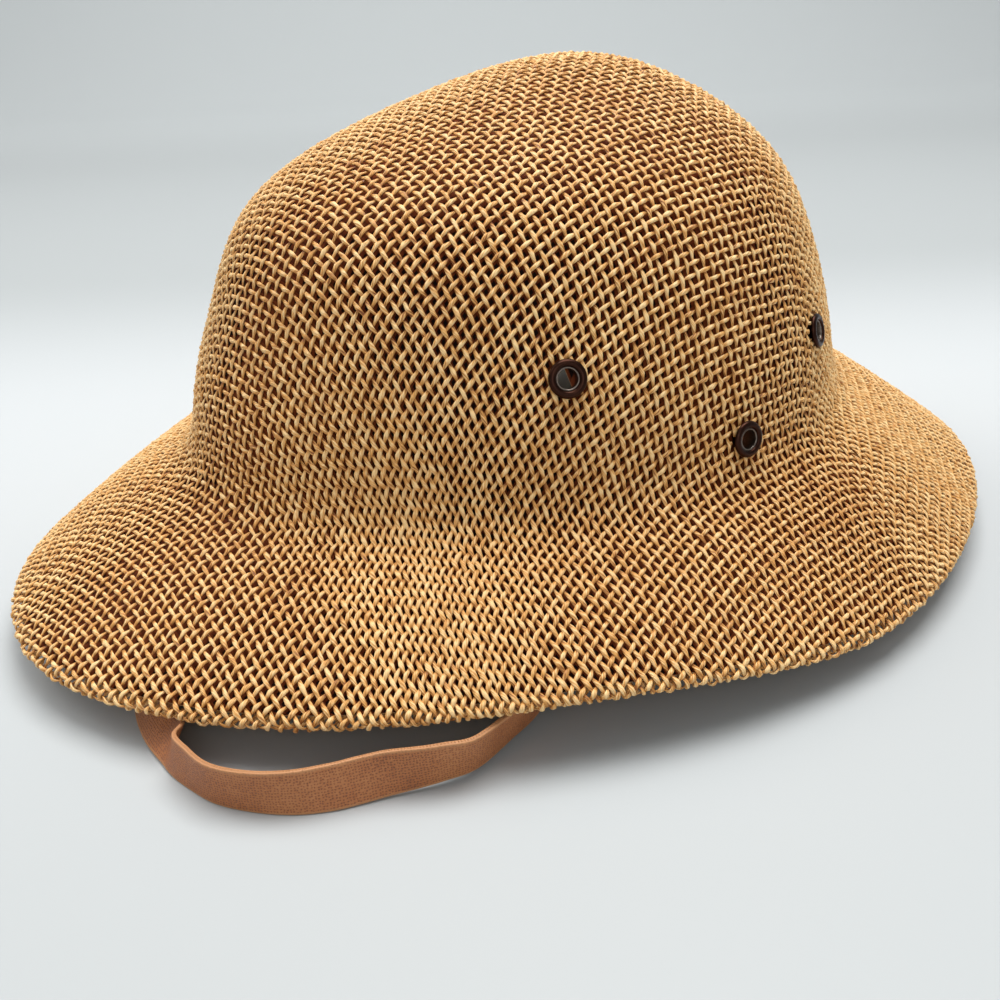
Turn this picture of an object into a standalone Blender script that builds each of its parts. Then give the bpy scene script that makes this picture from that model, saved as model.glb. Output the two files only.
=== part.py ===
"""Pith helmet pressed from two plies of twisted-paper mesh.

Metres, +Z up. The wearer faces -Y, so +X is the wearer's left. The origin is on the table at the
middle of the brim's outline.
"""
import math

import bmesh
import bpy
import numpy as np
from mathutils import Matrix, Vector

# Brim, measured from the middle of its outline to the rim, before the hem is rolled down
BRIM_FRONT = 0.169
BRIM_BACK = 0.169
BRIM_SIDE = 0.1375
BRIM_SQUARENESS = 1.84
RIM_LIFT = 0.011

# Slope of the brim at the rim in degrees, and how far the hem is flattened where it rests
BRIM_SLOPE = 36.0
REST_PRESS = 0.0005

# The hand-set wave of the rim, one row every 30 degrees from the front towards the left:
# share of the brim's reach, share of the rim's lift above the table. Below nothing, the hem
# stays on the table
RIM_ROWS = (
    (1.012, 0.87),
    (0.988, 1.03),
    (0.985, 1.42),
    (1.000, 0.78),
    (0.995, 0.84),
    (1.000, 0.53),
    (1.000, -0.06),
    (1.000, 0.43),
    (0.995, 0.83),
    (1.000, 0.95),
    (0.985, 0.65),
    (1.025, 0.76),
)

# Crown, measured at the crease where it meets the brim, and its heights above the table
CROWN_FRONT = 0.113
CROWN_BACK = 0.1015
CROWN_SIDE = 0.0945
CROWN_SQUARENESS = 1.86
CROWN_TOP = 0.1425
CREASE_FRONT = 0.040
CREASE_SIDE = 0.0435
CREASE_BACK = 0.0495
APEX_BACK = 0.020
DOME_TAPER_SHARE = 0.010

# How square the dome and the brim are in section at the front, the sides and the back
DOME_SQUARENESS = {"front": 2.13, "side": 2.10, "back": 1.85}
BRIM_DROOP = {"front": 0.33, "side": 0.40, "back": 0.02}

# Shoulder of the dome, one row every quarter of the way up:
# share of the crown's reach added at the front, the sides and the back
DOME_SWELL = (
    (0.000, 0.000, 0.000),
    (0.012, -0.013, -0.007),
    (0.110, 0.015, -0.007),
    (-0.026, -0.030, -0.030),
    (0.000, 0.000, 0.000),
)

# Share of the way from the top to the rim at which the crease lies, and how softly it turns:
# shift along the section, weight
CREASE_SHARE = 0.72
CREASE_BLEND = ((-0.06, 0.165), (-0.03, 0.64), (0.0, 1.0), (0.03, 0.64), (0.06, 0.165))

# Wall of two plies, and the hem where they turn under along the rim
WALL = 0.0024
HEM = 0.0034
HEM_SHARE = 0.06

# Eyelets on each side: name, degrees from the front, share of the way from the top to the rim,
# height of the flange over the middle of its seat, which the curve of the wall sets
EYELET_ROWS = (
    ("front", 58.0, 0.57, 0.0004),
    ("low", 86.0, 0.68, 0.0009),
    ("back", 112.0, 0.60, 0.0004),
)
EYELET_BORE = 0.0050
EYELET_BARREL = 0.0057
EYELET_FLANGE = 0.0098
EYELET_BACK_FLANGE = 0.0086
EYELET_RISE = 0.0011
EYELET_ROLL = 0.0006
EYELET_DOME = ((0.78, 0.85), (1.0, 0.35))
BACK_GAP = 0.0005
BORE_GAP = 0.0003
CUTTER_LENGTH = 0.020

# Chin strap: the band, its gap to the wall, and how far it runs past its eyelet to its cut end
# and lies flat on the wall on the other side
STRAP_WIDTH = 0.0115
STRAP_THICK = 0.0013
STRAP_CORNER = 0.0004
STRAP_GAP = 0.0006
STRAP_TAIL = 0.0085
STRAP_LEAD = 0.0051

# Route of the strap's lower edge, from the left side to the right side: degrees from the front,
# share of a reach, height above the table as a share of the strap's width, lean of the band from
# upright in degrees. By the eyelets it rises along the crown, and its reach is the crown's
STRAP_RISE_LEFT = (
    (76.6, 0.920, 3.03, 2.0),
    (68.0, 0.978, 2.04, 4.0),
    (61.1, 1.074, 1.30, 8.0),
    (56.7, 1.170, 0.72, 18.0),
)
STRAP_RISE_RIGHT = (
    (-53.3, 0.867, 0.22, 5.0),
    (-66.6, 0.865, 1.10, 4.0),
    (-76.9, 0.901, 2.60, 3.0),
)

# Between them it stands on the table under the rim and in front of it, and its reach is the
# rim's
STRAP_LIE = (
    (54.5, 0.901, 0.42, 25.0),
    (52.1, 0.946, 0.25, 27.0),
    (49.5, 1.002, 0.14, 20.0),
    (47.1, 1.025, 0.12, 9.0),
    (45.0, 1.038, 0.08, 0.0),
    (43.0, 1.051, 0.04, -9.0),
    (41.1, 1.067, 0.01, -13.0),
    (39.2, 1.082, 0.00, -11.0),
    (36.5, 1.093, 0.00, -4.0),
    (33.3, 1.093, 0.00, 2.0),
    (29.8, 1.084, 0.00, 3.0),
    (26.5, 1.062, 0.00, -3.0),
    (23.9, 1.043, 0.00, -10.0),
    (21.9, 1.026, 0.00, -36.0),
    (20.1, 1.012, 0.00, -47.0),
    (18.3, 0.997, 0.00, -46.0),
    (16.2, 0.978, 0.00, -42.0),
    (13.2, 0.950, 0.00, -36.0),
    (9.0, 0.910, 0.00, -28.0),
    (2.0, 0.847, 0.00, -18.0),
    (-8.0, 0.768, 0.00, -8.0),
    (-22.0, 0.688, 0.00, 4.0),
    (-38.0, 0.631, 0.00, 7.0),
)

# Fineness of the meshes
RING_SIDES = 64
CROWN_STEPS = 15
BRIM_STEPS = 8
HEM_STEPS = 6
INNER_STEPS = 18
EYELET_SIDES = 18
CUTTER_SIDES = 24
STRAP_STEPS_PER_ROW = 4
NORMAL_SHARE = 0.002

DEGREE = math.pi / 180.0


def signed_power(value, power):
    return np.sign(value) * np.abs(value) ** power


def through_rows(values, place):
    """Smooth curve through evenly spaced rows, read at a place counted in rows."""
    values = np.asarray(values, float)
    last = len(values) - 1
    row = np.clip(np.floor(place).astype(int), 0, last - 1)
    part = place - row
    before, start, end, after = (
        values[np.clip(row + step, 0, last)] for step in (-1, 0, 1, 2)
    )
    slope = end - before
    bend = 2 * before - 5 * start + 4 * end - after
    twist = -before + 3 * start - 3 * end + after
    return start + 0.5 * (slope * part + bend * part ** 2 + twist * part ** 3)


def around_rows(column, angle):
    """Smooth closed curve through one column of the rim's rows."""
    values = [row[column] for row in RIM_ROWS]
    count = len(values)
    place = (angle / (2 * math.pi) * count) % count
    return through_rows(values[-2:] + values + values[:3], place + 2)


def by_side(front, side, back, angle):
    """Value that turns smoothly from the front through the sides to the back."""
    ahead = np.maximum(np.cos(angle), 0.0) ** 2
    behind = np.maximum(-np.cos(angle), 0.0) ** 2
    return side + (front - side) * ahead + (back - side) * behind


def outline(front, side, back, squareness, angle):
    """Rounded outline seen from above, one x and y for each angle."""
    power = 2.0 / squareness
    x = side * signed_power(np.sin(angle), power)
    y = -np.where(np.cos(angle) > 0, front, back) * signed_power(np.cos(angle), power)
    return x, y


def crease_outline(angle):
    """Outline of the crown where it meets the brim."""
    return outline(CROWN_FRONT, CROWN_SIDE, CROWN_BACK, CROWN_SQUARENESS, angle)


def rim_outline(angle):
    """Edge of the sheet where the hem turns, and its height."""
    reach = HEM / 2
    x, y = outline(BRIM_FRONT - reach, BRIM_SIDE - reach, BRIM_BACK - reach, BRIM_SQUARENESS, angle)
    share = around_rows(0, angle)
    lift = RIM_LIFT * np.maximum(around_rows(1, angle), 0.0)
    stand = reach * (1 + math.cos(BRIM_SLOPE * DEGREE)) - REST_PRESS
    return x * share, y * share, lift + stand


def raw_ring(angle, run):
    """Ring of the outer surface before the crease is softened."""
    crease_x, crease_y = crease_outline(angle)
    crease_z = by_side(CREASE_FRONT, CREASE_SIDE, CREASE_BACK, angle)
    if run <= CREASE_SHARE:
        climb = 1.0 - run / CREASE_SHARE
        squareness = by_side(*DOME_SQUARENESS.values(), angle)
        reach = max(math.cos(climb * math.pi / 2), 0.0) ** (2 / squareness)
        rise = math.sin(climb * math.pi / 2) ** (2 / squareness)
        place = np.float64(climb * (len(DOME_SWELL) - 1))
        swell = [through_rows(column, place) for column in zip(*DOME_SWELL)]
        reach = reach * (1 - DOME_TAPER_SHARE * rise) + by_side(*swell, angle)
        x = crease_x * reach
        y = crease_y * reach + APEX_BACK * rise ** 2
        z = crease_z + (CROWN_TOP - crease_z) * rise
    else:
        out = (run - CREASE_SHARE) / (1 - CREASE_SHARE)
        rim_x, rim_y, rim_z = rim_outline(angle)
        droop = by_side(*BRIM_DROOP.values(), angle)
        x = crease_x + (rim_x - crease_x) * out
        y = crease_y + (rim_y - crease_y) * out
        z = crease_z - (crease_z - rim_z) * ((1 - droop) * out + droop * out ** 2)
    return np.stack([x, y, z], -1)


def outer_ring(angle, run):
    """Ring of the outer surface, run being 0 at the top and 1 at the rim."""
    room = min(run, 1 - run, CREASE_BLEND[-1][0]) / CREASE_BLEND[-1][0]
    total = sum(weight for _, weight in CREASE_BLEND)
    return sum(raw_ring(angle, run + shift * room) * weight for shift, weight in CREASE_BLEND) / total


def ring_normals(angle, run):
    """Outward normals of the outer surface along a ring."""
    step = NORMAL_SHARE
    low, high = max(run - step, step * 2), min(run + step, 1.0)
    along = outer_ring(angle, high) - outer_ring(angle, low)
    here = min(max(run, step * 2), 1.0)
    round_ = outer_ring(angle + step, here) - outer_ring(angle - step, here)
    normal = np.cross(along, round_)
    return normal / np.linalg.norm(normal, axis=1)[:, None]


def wall_at(run):
    """Thickness of the wall, growing into the hem at the rim."""
    share = min(max((run - 1 + HEM_SHARE) / HEM_SHARE, 0.0), 1.0)
    return WALL + (HEM - WALL) * share * share * (3 - 2 * share)


def surface_point(degrees, run, depth=0.0):
    """Point and outward normal at one place, depth being measured into the wall."""
    angle = np.array([degrees * DEGREE])
    normal = ring_normals(angle, run)[0]
    return outer_ring(angle, run)[0] - normal * depth, normal


def material(name, colour, roughness, metallic=0.0):
    made = bpy.data.materials.new(name)
    made.use_nodes = True
    shader = made.node_tree.nodes["Principled BSDF"]
    shader.inputs["Base Color"].default_value = (*colour, 1.0)
    shader.inputs["Roughness"].default_value = roughness
    shader.inputs["Metallic"].default_value = metallic
    return made


def add_object(name, mesh_data, finish, sharp=40.0):
    """Object from a bmesh, smooth except along its sharp edges."""
    mesh = bpy.data.meshes.new(name)
    bmesh.ops.recalc_face_normals(mesh_data, faces=mesh_data.faces)
    mesh_data.to_mesh(mesh)
    mesh_data.free()
    mesh.shade_smooth()
    mesh.set_sharp_from_angle(angle=sharp * DEGREE)
    mesh.materials.append(finish)
    made = bpy.data.objects.new(name, mesh)
    bpy.context.scene.collection.objects.link(made)
    return made


def bridge(mesh_data, rings, closed=False):
    """Faces between rings of equal length, from each ring to the next."""
    pairs = list(zip(rings, rings[1:]))
    if closed:
        pairs.append((rings[-1], rings[0]))
    for ring, following in pairs:
        count = len(ring)
        for i in range(count):
            j = (i + 1) % count
            mesh_data.faces.new((ring[i], ring[j], following[j], following[i]))


def cap(mesh_data, ring, tip):
    for i in range(len(ring)):
        mesh_data.faces.new((ring[i], ring[(i + 1) % len(ring)], tip))


def cut(target, name, place, radius):
    """Round hole through a piece, made by a hidden cutter."""
    mesh_data = bmesh.new()
    bmesh.ops.create_cone(
        mesh_data, cap_ends=True, segments=CUTTER_SIDES, radius1=radius, radius2=radius,
        depth=CUTTER_LENGTH,
    )
    cutter = add_object(name, mesh_data, target.data.materials[0])
    cutter.matrix_world = place
    cutter.hide_render = True
    cutter.display_type = "WIRE"
    hole = target.modifiers.new(name, "BOOLEAN")
    hole.operation = "DIFFERENCE"
    hole.object = cutter


def make_shell(finish):
    """Crown and brim as one pressed wall with a round hem."""
    angle = np.arange(RING_SIDES) * 2 * math.pi / RING_SIDES
    crown_runs = [CREASE_SHARE * i / CROWN_STEPS for i in range(1, CROWN_STEPS + 1)]
    brim_runs = [CREASE_SHARE + (1 - CREASE_SHARE) * i / BRIM_STEPS for i in range(1, BRIM_STEPS + 1)]
    rows = [outer_ring(angle, run) for run in crown_runs + brim_runs]

    rim, normal = outer_ring(angle, 1.0), ring_normals(angle, 1.0)
    outward = rim - outer_ring(angle, 1 - HEM_SHARE)
    outward -= normal * np.sum(outward * normal, axis=1)[:, None]
    outward /= np.linalg.norm(outward, axis=1)[:, None]
    centre = rim - normal * HEM / 2
    for i in range(1, HEM_STEPS):
        turn = math.pi * i / HEM_STEPS
        rows.append(centre + (normal * math.cos(turn) + outward * math.sin(turn)) * HEM / 2)

    for i in range(INNER_STEPS):
        run = 1 - i / INNER_STEPS
        rows.append(outer_ring(angle, run) - ring_normals(angle, run) * wall_at(run))
    for row in rows:
        row[:, 2] = np.maximum(row[:, 2], 0.0)

    top = outer_ring(angle, 0.0)[0]
    mesh_data = bmesh.new()
    rings = [[mesh_data.verts.new(point) for point in row] for row in rows]
    bridge(mesh_data, rings)
    cap(mesh_data, rings[0], mesh_data.verts.new(top))
    cap(mesh_data, rings[-1], mesh_data.verts.new(top - np.array([0.0, 0.0, WALL])))
    return add_object("helmet_shell", mesh_data, finish, sharp=60.0)


def eyelet_frame(degrees, run):
    """Place on the wall with its local Z pointing out of the wall."""
    point, normal = surface_point(degrees, run)
    level = Vector((-normal[1], normal[0], 0.0)).normalized()
    out = Vector(normal)
    frame = Matrix((level, out.cross(level), out)).transposed().to_4x4()
    frame.translation = Vector(point)
    return frame


def eyelet_profile(seat, grip):
    """Section of an eyelet: radius and height over the wall, from its seat and what it grips."""
    bore, barrel = EYELET_BORE / 2, EYELET_BARREL / 2
    flange, back = EYELET_FLANGE / 2, EYELET_BACK_FLANGE / 2
    low = -grip - BACK_GAP
    return (
        (bore, seat + EYELET_RISE - EYELET_ROLL),
        ((bore + barrel) / 2, seat + EYELET_RISE),
        *((flange * out, seat + EYELET_RISE * up) for out, up in EYELET_DOME),
        (flange, seat),
        (barrel, seat),
        (barrel, low),
        (back, low),
        (back, low - EYELET_ROLL / 2),
        ((bore + barrel) / 2, low - EYELET_ROLL),
        (bore, low - EYELET_ROLL / 2),
    )


def make_eyelet(name, frame, seat, grip, finish):
    """Two-flanged metal ring clenched through the wall."""
    mesh_data = bmesh.new()
    rings = []
    for radius, height in eyelet_profile(seat, grip):
        turns = [2 * math.pi * i / EYELET_SIDES for i in range(EYELET_SIDES)]
        rings.append([
            mesh_data.verts.new((radius * math.cos(turn), radius * math.sin(turn), height))
            for turn in turns
        ])
    bridge(mesh_data, rings, closed=True)
    made = add_object(name, mesh_data, finish)
    made.matrix_world = frame
    return made


def strap_end(sign, shift):
    """Lower edge of the strap where it lies on the wall by a low eyelet, and its width."""
    _, degrees, run, _ = EYELET_ROWS[1]
    depth = WALL + STRAP_GAP + STRAP_THICK / 2
    middle, _ = surface_point(degrees * sign, run, depth)
    around = shift / math.hypot(middle[0], middle[1]) / DEGREE
    place, normal = surface_point((degrees + around) * sign, run, depth)
    width = np.array([0.0, 0.0, 1.0])
    width -= normal * width[2] * normal[2]
    width /= np.linalg.norm(width)
    return place - width * STRAP_WIDTH / 2, width


def strap_stretch(rows, reach):
    """Lower edges and widths for one table of the strap's rows, reach being an outline."""
    edges, widths = [], []
    for degrees, share, height, lean in rows:
        x, y = reach(np.array([degrees * DEGREE]))[:2]
        tilt = lean * DEGREE
        out = np.array([x[0], y[0], 0.0]) / math.hypot(x[0], y[0])
        lift = height * STRAP_WIDTH + STRAP_THICK / 2 * abs(math.sin(tilt))
        edges.append(np.array([x[0] * share, y[0] * share, lift]))
        widths.append(np.array([0.0, 0.0, math.cos(tilt)]) + out * math.sin(tilt))
    return list(zip(edges, widths))


def strap_route():
    """Lower edge of the band and its width direction, row by row from left to right."""
    places = [strap_end(1, shift) for shift in (STRAP_TAIL, 0.0, -STRAP_LEAD)]
    places += strap_stretch(STRAP_RISE_LEFT, crease_outline)
    places += strap_stretch(STRAP_LIE, rim_outline)
    places += strap_stretch(STRAP_RISE_RIGHT, crease_outline)
    places += [strap_end(-1, shift) for shift in (-STRAP_LEAD, 0.0, STRAP_TAIL)]
    edges, widths = zip(*places)
    return np.array(edges), np.array(widths)


def make_strap(finish):
    """Flat band with rounded corners swept along its route."""
    edges, widths = strap_route()
    steps = (len(edges) - 1) * STRAP_STEPS_PER_ROW
    places = np.arange(steps + 1) / STRAP_STEPS_PER_ROW
    edge = np.stack([through_rows(column, places) for column in edges.T], -1)
    width = np.stack([through_rows(column, places) for column in widths.T], -1)
    tangent = np.gradient(edge, axis=0)
    tangent /= np.linalg.norm(tangent, axis=1)[:, None]
    width -= tangent * np.sum(width * tangent, axis=1)[:, None]
    width /= np.linalg.norm(width, axis=1)[:, None]
    face = np.cross(tangent, width)

    corner = STRAP_CORNER
    section = []
    for across, through in ((0, 1), (0, -1), (1, -1), (1, 1)):
        inset = corner if across == 0 else -corner
        pair = [
            (across * STRAP_WIDTH, through * (STRAP_THICK / 2 - corner)),
            (across * STRAP_WIDTH + inset, through * STRAP_THICK / 2),
        ]
        section += pair if through == (-1 if across == 0 else 1) else pair[::-1]
    mesh_data = bmesh.new()
    rings = []
    for start, wide, thick in zip(edge, width, face):
        points = [start + wide * across + thick * through for across, through in section]
        for point in points:
            point[2] = max(point[2], 0.0)
        rings.append([mesh_data.verts.new(point) for point in points])
    bridge(mesh_data, rings)
    mesh_data.faces.new(rings[0])
    mesh_data.faces.new(rings[-1])
    return add_object("chin_strap", mesh_data, finish)


def main():
    for item in list(bpy.data.objects):
        bpy.data.objects.remove(item)

    paper = material("woven_paper", (0.60, 0.38, 0.17), 0.62)
    bronze = material("eyelet_metal", (0.10, 0.075, 0.055), 0.35, 1.0)
    leather = material("strap_leather", (0.44, 0.19, 0.09), 0.55)

    shell = make_shell(paper)
    strap = make_strap(leather)
    for side, sign in (("left", 1), ("right", -1)):
        for name, degrees, run, seat in EYELET_ROWS:
            frame = eyelet_frame(degrees * sign, run)
            radius = EYELET_BARREL / 2 + BORE_GAP
            cut(shell, f"hole_{side}_{name}", frame, radius)
            grip = WALL
            if name == "low":
                grip += STRAP_GAP + STRAP_THICK
                cut(strap, f"strap_hole_{side}", frame, radius)
            make_eyelet(f"eyelet_{side}_{name}", frame, seat, grip, bronze)


main()
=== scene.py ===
import math

import bmesh
import bpy
import numpy as np
from mathutils import Matrix, Vector


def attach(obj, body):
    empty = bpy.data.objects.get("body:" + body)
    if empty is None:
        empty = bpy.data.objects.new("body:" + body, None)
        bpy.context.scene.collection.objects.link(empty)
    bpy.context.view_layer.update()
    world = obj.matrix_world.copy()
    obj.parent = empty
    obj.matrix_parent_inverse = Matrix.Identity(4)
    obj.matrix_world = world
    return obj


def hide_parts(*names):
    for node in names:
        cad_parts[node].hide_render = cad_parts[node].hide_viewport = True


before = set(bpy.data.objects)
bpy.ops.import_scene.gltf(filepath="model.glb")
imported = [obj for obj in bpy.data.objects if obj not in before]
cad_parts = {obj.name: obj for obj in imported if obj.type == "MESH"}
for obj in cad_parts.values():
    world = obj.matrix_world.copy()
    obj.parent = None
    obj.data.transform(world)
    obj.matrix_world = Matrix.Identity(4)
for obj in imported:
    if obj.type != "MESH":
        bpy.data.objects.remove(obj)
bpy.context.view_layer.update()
print("pith helmet: frame loaded")

degree = math.pi / 180.0


def linked(name, data):
    made = bpy.data.objects.new(name, data)
    bpy.context.scene.collection.objects.link(made)
    return made


def unit(vectors):
    return vectors / np.linalg.norm(vectors, axis=-1, keepdims=True)


cameraPlace = {  # where the hat is seen from; lengths in metres, turns in degrees
    "azimuth": 51.97, "elevation": 26.09, "roll": -2.446, "distance": 0.35946,
    "aimHeight": 0.060, "aimRight": -0.01214, "aimUp": -0.05344, "lens": 40.24, "sensor": 36.0,
}


def placeCamera(place):
    turn, rise, roll = (place[key] * degree for key in ("azimuth", "elevation", "roll"))
    back = Vector((math.sin(turn) * math.cos(rise), -math.cos(turn) * math.cos(rise), math.sin(rise)))
    right = Vector((math.cos(turn), math.sin(turn), 0.0))
    up = back.cross(right)
    aim = Vector((0.0, 0.0, place["aimHeight"])) + right * place["aimRight"] + up * place["aimUp"]
    rolledRight = right * math.cos(roll) + up * math.sin(roll)
    rolledUp = up * math.cos(roll) - right * math.sin(roll)
    camera = bpy.data.cameras.new("hatCamera")
    camera.lens, camera.sensor_width = place["lens"], place["sensor"]
    camera.clip_start, camera.clip_end = 0.01, 20.0
    holder = linked("hatCamera", camera)
    turned = Matrix((rolledRight, rolledUp, back)).transposed().to_4x4()
    turned.translation = aim + back * place["distance"]
    holder.matrix_world = turned
    bpy.context.scene.camera = holder


placeCamera(cameraPlace)

helmetForm = {  # the pressed shape, the same sizes as the solid it is woven over
    "brimFront": 0.169, "brimBack": 0.169, "brimSide": 0.1375, "brimSquareness": 1.84,
    "rimLift": 0.011, "brimSlope": 36.0, "restPress": 0.0005,
    "crownFront": 0.113, "crownBack": 0.1015, "crownSide": 0.0945, "crownSquareness": 1.86,
    "crownTop": 0.1425, "creaseHeight": (0.040, 0.0435, 0.0495), "apexBack": 0.020,
    "domeTaper": 0.010, "domeSquareness": (2.13, 2.10, 1.85), "brimDroop": (0.33, 0.40, 0.02),
    "creaseRun": 0.72, "wall": 0.0024, "hem": 0.0034,
}

rimWave = (  # every 30 degrees from the front to the wearer's left: share of reach, share of lift
    (1.012, 0.87), (0.988, 1.03), (0.985, 1.42), (1.000, 0.78), (0.995, 0.84), (1.000, 0.53),
    (1.000, -0.06), (1.000, 0.43), (0.995, 0.83), (1.000, 0.95), (0.985, 0.65), (1.025, 0.76),
)

domeSwell = (  # shoulder of the dome from the crease up: front, sides, back
    (0.000, 0.000, 0.000), (0.012, -0.013, -0.007), (0.110, 0.015, -0.007),
    (-0.026, -0.030, -0.030), (0.000, 0.000, 0.000),
)

creaseBlend = ((-0.06, 0.165), (-0.03, 0.64), (0.0, 1.0), (0.03, 0.64), (0.06, 0.165))


def signedPower(value, power):
    return np.sign(value) * np.abs(value) ** power


def throughRows(values, place):  # smooth curve through evenly spaced rows
    values = np.asarray(values, float)
    last = len(values) - 1
    row = np.clip(np.floor(place).astype(int), 0, last - 1)
    part = place - row
    before, start, end, after = (values[np.clip(row + step, 0, last)] for step in (-1, 0, 1, 2))
    bend = 2 * before - 5 * start + 4 * end - after
    twist = -before + 3 * start - 3 * end + after
    return start + 0.5 * ((end - before) * part + bend * part ** 2 + twist * part ** 3)


def aroundRim(column, angle):
    values = [row[column] for row in rimWave]
    place = (angle / (2 * math.pi) * len(values)) % len(values)
    return throughRows(values[-2:] + values + values[:3], place + 2)


def bySide(front, side, back, angle):
    ahead = np.maximum(np.cos(angle), 0.0) ** 2
    behind = np.maximum(-np.cos(angle), 0.0) ** 2
    return side + (front - side) * ahead + (back - side) * behind


def seenFromAbove(front, side, back, squareness, angle):
    power = 2.0 / squareness
    x = side * signedPower(np.sin(angle), power)
    y = -np.where(np.cos(angle) > 0, front, back) * signedPower(np.cos(angle), power)
    return x, y


def creaseEdge(angle):
    form = helmetForm
    return seenFromAbove(
        form["crownFront"], form["crownSide"], form["crownBack"], form["crownSquareness"], angle)


def rimEdge(angle):
    form = helmetForm
    roll = form["hem"] / 2
    x, y = seenFromAbove(
        form["brimFront"] - roll, form["brimSide"] - roll, form["brimBack"] - roll,
        form["brimSquareness"], angle)
    share = aroundRim(0, angle)
    lift = form["rimLift"] * np.maximum(aroundRim(1, angle), 0.0)
    stand = roll * (1 + math.cos(form["brimSlope"] * degree)) - form["restPress"]
    return x * share, y * share, lift + stand


def pressedForm(angle, run):  # crown and brim before the crease is softened
    form = helmetForm
    crease = form["creaseRun"]
    creaseX, creaseY = creaseEdge(angle)
    creaseZ = bySide(*form["creaseHeight"], angle)
    climb = np.clip(1.0 - run / crease, 0.0, 1.0)
    squareness = bySide(*form["domeSquareness"], angle)
    reach = np.maximum(np.cos(climb * math.pi / 2), 0.0) ** (2 / squareness)
    rise = np.sin(climb * math.pi / 2) ** (2 / squareness)
    swell = [throughRows(column, climb * (len(domeSwell) - 1)) for column in zip(*domeSwell)]
    reach = reach * (1 - form["domeTaper"] * rise) + bySide(*swell, angle)
    out = np.clip((run - crease) / (1 - crease), 0.0, 1.0)
    rimX, rimY, rimZ = rimEdge(angle)
    droop = bySide(*form["brimDroop"], angle)
    onBrim = run > crease
    x = np.where(onBrim, creaseX + (rimX - creaseX) * out, creaseX * reach)
    y = np.where(onBrim, creaseY + (rimY - creaseY) * out, creaseY * reach + form["apexBack"] * rise ** 2)
    z = np.where(
        onBrim, creaseZ - (creaseZ - rimZ) * ((1 - droop) * out + droop * out ** 2),
        creaseZ + (form["crownTop"] - creaseZ) * rise)
    return np.stack([x, y, z], -1)


def outerForm(angle, run):  # outer face of the wall; run is 0 at the top and 1 at the rim
    widest = creaseBlend[-1][0]
    room = np.clip(np.minimum(run, 1 - run), 0.0, widest) / widest
    total = sum(weight for _, weight in creaseBlend)
    return sum(pressedForm(angle, run + shift * room) * weight for shift, weight in creaseBlend) / total


def polar(spots):  # a spot on the flat plan: its distance from the middle is the run
    return np.arctan2(spots[..., 0], -spots[..., 1]), np.hypot(spots[..., 0], spots[..., 1])


planMap = {  # the plan is looked up in a table, past the rim as well
    "reach": 1.12, "step": 0.0028, "rimStep": 0.015,
}


def fillMap(plan):
    ticks = np.arange(-plan["reach"], plan["reach"] + plan["step"], plan["step"])
    across, ahead = np.meshgrid(ticks, ticks, indexing="ij")
    angle, run = polar(np.stack([across, ahead], -1))
    points = outerForm(angle, np.minimum(run, 1.0))
    before = outerForm(angle, np.full_like(run, 1.0 - plan["rimStep"]))
    slope = (outerForm(angle, np.ones_like(run)) - before) / plan["rimStep"]
    points += slope * np.maximum(run - 1.0, 0.0)[..., None]
    plan["low"], plan["count"] = ticks[0], len(ticks)
    plan["points"] = points
    plan["byU"], plan["byV"] = np.gradient(points, plan["step"], axis=(0, 1))
    plan["normals"] = unit(np.cross(plan["byU"], plan["byV"]))


def readMap(table, spots):
    place = (spots - planMap["low"]) / planMap["step"]
    cell = np.clip(np.floor(place).astype(int), 0, planMap["count"] - 2)
    u, v = np.moveaxis(np.clip(place - cell, 0.0, 1.0), -1, 0)[..., None]
    i, j = np.moveaxis(cell, -1, 0)
    values = planMap[table]
    return (values[i, j] * (1 - u) * (1 - v) + values[i + 1, j] * u * (1 - v)
            + values[i, j + 1] * (1 - u) * v + values[i + 1, j + 1] * u * v)


fillMap(planMap)
print("pith helmet: form mapped")

weave = {  # paper threads of the outer ply, in metres
    "pitch": 0.00282, "width": 0.00101, "thickness": 0.00062, "waveHeight": 0.00038,
    "leaf": 0.29, "wander": 0.00036, "unevenWidth": 0.55, "sides": 6, "seed": 4,
    "cells": 128,  # most mesh cells from the cloth's middle to its edge
    "middle": (0.086, -0.136), "turned": -1.0,  # the cloth's middle and turn on the plan
    "drawnAcross": (0.008, -0.015, 0.000),  # change of a cell's side to the left, the back and the rim
    "drawnAlong": (-0.146, 0.000, -0.072), "drawnLimits": (0.45, 1.4),
    "brimFrom": 0.45, "brimOver": 0.4,  # where the change towards the rim starts, and its length
    "fineFrom": 0.985,  # threads take finer steps from this run to the rim
    "turnUnder": 0.0072, "turnUneven": 0.12,
    "restLift": 0.00085,  # a thread that lies on the table stays over it
    "hole": 0.0033, "holeDepth": 0.006, "fewestCells": 8,
}

netSolve = {"rounds": 7, "longestStep": 0.01, "mostMiss": 0.2, "fineSteps": 6000}


def cellSide(key, spots):  # length of a mesh cell's side where the blocking has drawn the cloth in
    towardsLeft, towardsBack, towardsRim = weave[key]
    run = np.hypot(spots[..., 0], spots[..., 1])
    rise = np.clip((run - weave["brimFrom"]) / weave["brimOver"], 0.0, 1.0)
    onBrim = rise * rise * (3 - 2 * rise)
    share = 1 + towardsLeft * spots[..., 0] + towardsBack * spots[..., 1] + towardsRim * onBrim
    return weave["pitch"] * np.clip(share, *weave["drawnLimits"])


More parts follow.
